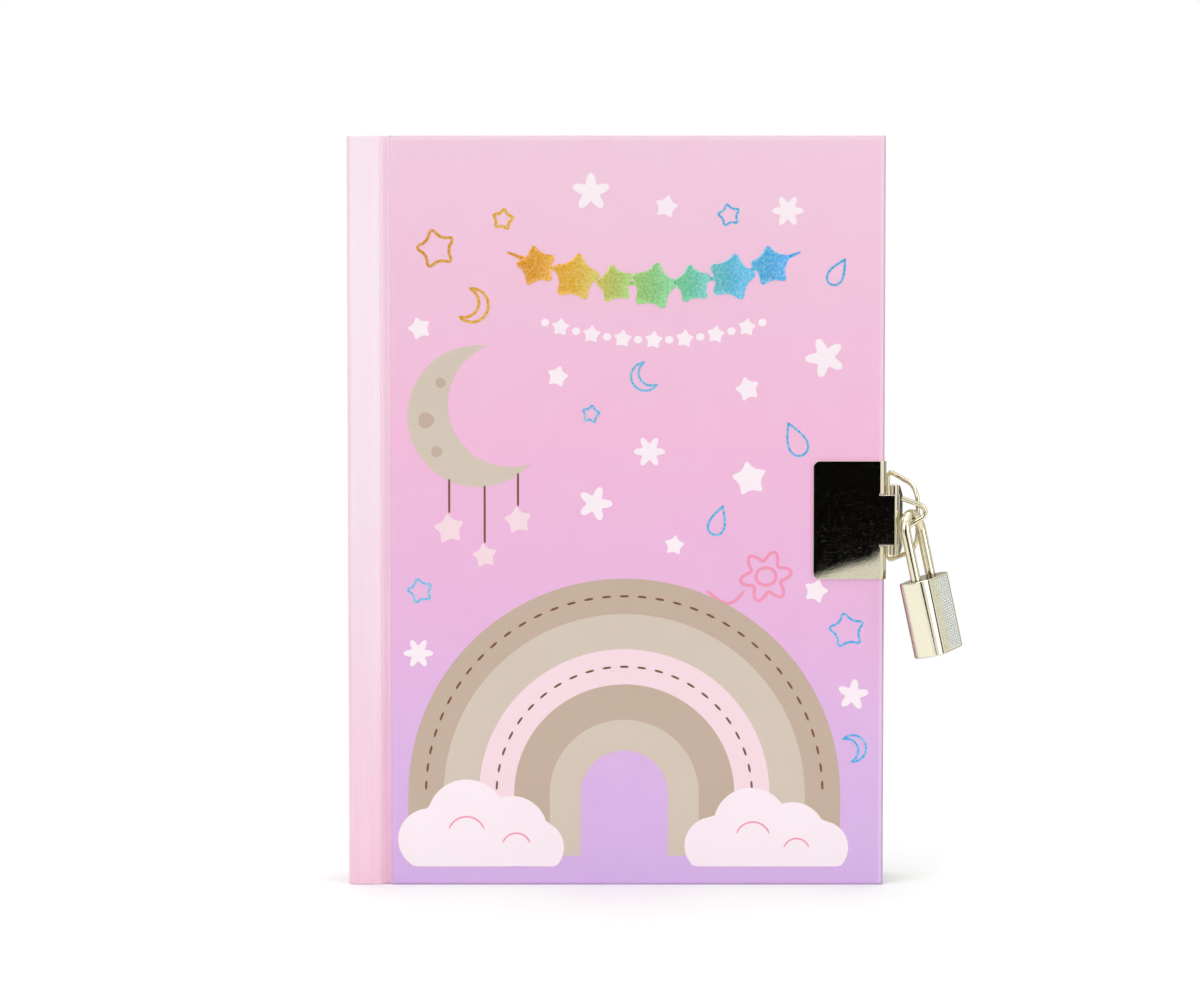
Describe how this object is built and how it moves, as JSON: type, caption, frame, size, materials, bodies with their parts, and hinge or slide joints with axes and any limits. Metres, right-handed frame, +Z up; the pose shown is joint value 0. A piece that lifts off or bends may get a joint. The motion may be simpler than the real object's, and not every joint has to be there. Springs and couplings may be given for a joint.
{
  "type": "diary with lock",
  "caption": "Hardcover diary with folding covers, fanning leaves and a fore-edge hasp whose wire eye carries a small hanging padlock.",
  "frame": {"origin": "middle of the back cover's lower edge, on which the diary stands", "axes": "+Z up along the book's height, -Y out of the front cover, +X from the spine to the fore-edge"},
  "size_m": [0.148, 0.0275, 0.18],
  "materials": {
    "printed_paper": "satin film",
    "board": "grey board",
    "endpaper": "matte",
    "leaf_paper": "matte",
    "lining": "matte",
    "band_cloth": "woven",
    "plate_metal": "mirror",
    "wire_metal": "polished",
    "padlock_metal": "polished",
    "panel_metal": "etched",
    "works_metal": "plain"
  },
  "bodies": {
    "book": {"spine_board": "board", "front_strip_board": "board", "back_strip_board": "board", "spine_wrap": "printed_paper", "spine_lining": "lining", "bound_edge": "leaf_paper", "head_band": "band_cloth", "tail_band": "band_cloth"},
    "front_cover": {"front_board": "board", "front_cover_wrap": "printed_paper", "front_pastedown": "endpaper", "front_plate": "plate_metal"},
    "back_cover": {"back_board": "board", "back_cover_wrap": "printed_paper", "back_pastedown": "endpaper", "back_plate": "plate_metal"},
    "leaves_1": {"front_flyleaf": "endpaper", "leaf_bundle_1": "leaf_paper"},
    "leaves_2": {"leaf_bundle_2": "leaf_paper"},
    "leaves_3": {"leaf_bundle_3": "leaf_paper"},
    "leaves_4": {"leaf_bundle_4": "leaf_paper"},
    "leaves_5": {"leaf_bundle_5": "leaf_paper"},
    "leaves_6": {"leaf_bundle_6": "leaf_paper", "back_flyleaf": "endpaper"},
    "hasp": {"hasp_tab": "plate_metal", "hasp_pin": "wire_metal", "wire_eye": "wire_metal"},
    "bail": {"hasp_bail": "wire_metal"},
    "shackle": {"shackle": "wire_metal"},
    "padlock": {"padlock_case": "padlock_metal", "padlock_base": "padlock_metal", "face_panel_outer": "panel_metal", "face_panel_inner": "panel_metal", "latch_spring": "works_metal"},
    "latch": {"padlock_latch": "works_metal"},
    "key_plug": {"key_plug": "works_metal"}
  },
  "joints": [
    {"name": "front_cover_open", "type": "hinge", "parent": "book", "child": "front_cover", "pos_m": [-0.0543, -0.01865, 0.09], "axis": [0, 0, -1], "range_deg": [0, 170]},
    {"name": "back_cover_open", "type": "hinge", "parent": "book", "child": "back_cover", "pos_m": [-0.0543, 0.00135, 0.09], "axis": [0, 0, 1], "range_deg": [0, 170]},
    {"name": "leaves_1_turn", "type": "hinge", "parent": "book", "child": "leaves_1", "pos_m": [-0.0543, -0.01865, 0.09], "axis": [0, 0, -1], "range_deg": [0, 149.6]},
    {"name": "leaves_2_turn", "type": "hinge", "parent": "book", "child": "leaves_2", "pos_m": [-0.0543, -0.01865, 0.09], "axis": [0, 0, -1], "range_deg": [0, 112.2]},
    {"name": "leaves_3_turn", "type": "hinge", "parent": "book", "child": "leaves_3", "pos_m": [-0.0543, -0.01865, 0.09], "axis": [0, 0, -1], "range_deg": [0, 71.4]},
    {"name": "leaves_4_turn", "type": "hinge", "parent": "book", "child": "leaves_4", "pos_m": [-0.0543, -0.01865, 0.09], "axis": [0, 0, -1], "range_deg": [0, 34]},
    {"name": "leaves_5_turn", "type": "hinge", "parent": "book", "child": "leaves_5", "pos_m": [-0.0543, 0.00135, 0.09], "axis": [0, 0, 1], "range_deg": [0, 42.5]},
    {"name": "leaves_6_turn", "type": "hinge", "parent": "book", "child": "leaves_6", "pos_m": [-0.0543, 0.00135, 0.09], "axis": [0, 0, 1], "range_deg": [0, 102]},
    {"name": "hasp_swing", "type": "hinge", "parent": "front_cover", "child": "hasp", "pos_m": [0.0668, -0.0181, 0.08805], "axis": [0, 0, -1], "range_deg": [-8, 25]},
    {"name": "bail_swing", "type": "hinge", "parent": "back_cover", "child": "bail", "pos_m": [0.0668, 0.0008, 0.08805], "axis": [0, 0, 1], "range_deg": [-15, 140]},
    {"name": "padlock_swing", "type": "hinge", "parent": "hasp", "child": "shackle", "pos_m": [0.0706, -0.0181, 0.0894], "axis": [0, -1, 0], "range_deg": [-8, 60]},
    {"name": "padlock_release", "type": "slide", "parent": "shackle", "child": "padlock", "axis": [0.2079, 0, -0.9781], "range_m": [0, 0.008]},
    {"name": "key_turn", "type": "hinge", "parent": "padlock", "child": "key_plug", "pos_m": [0.07682, -0.0181, 0.06015], "axis": [-0.2079, 0, 0.9781], "range_deg": [0, 90]},
    {"name": "latch_slide", "type": "slide", "parent": "padlock", "child": "latch", "axis": [-0.4817, -0.8704, -0.1024], "range_m": [0, 0.003]}
  ],
  "couplings": [
    {"joint": "leaves_1_turn", "follows": "front_cover_open", "ratio": 0.88},
    {"joint": "leaves_2_turn", "follows": "front_cover_open", "ratio": 0.66},
    {"joint": "leaves_3_turn", "follows": "front_cover_open", "ratio": 0.42},
    {"joint": "leaves_4_turn", "follows": "front_cover_open", "ratio": 0.2},
    {"joint": "leaves_5_turn", "follows": "back_cover_open", "ratio": 0.25},
    {"joint": "leaves_6_turn", "follows": "back_cover_open", "ratio": 0.6},
    {"joint": "key_turn", "follows": "padlock_release", "rad_per_m": 196.35},
    {"joint": "latch_slide", "follows": "padlock_release", "ratio": 0.375}
  ]
}
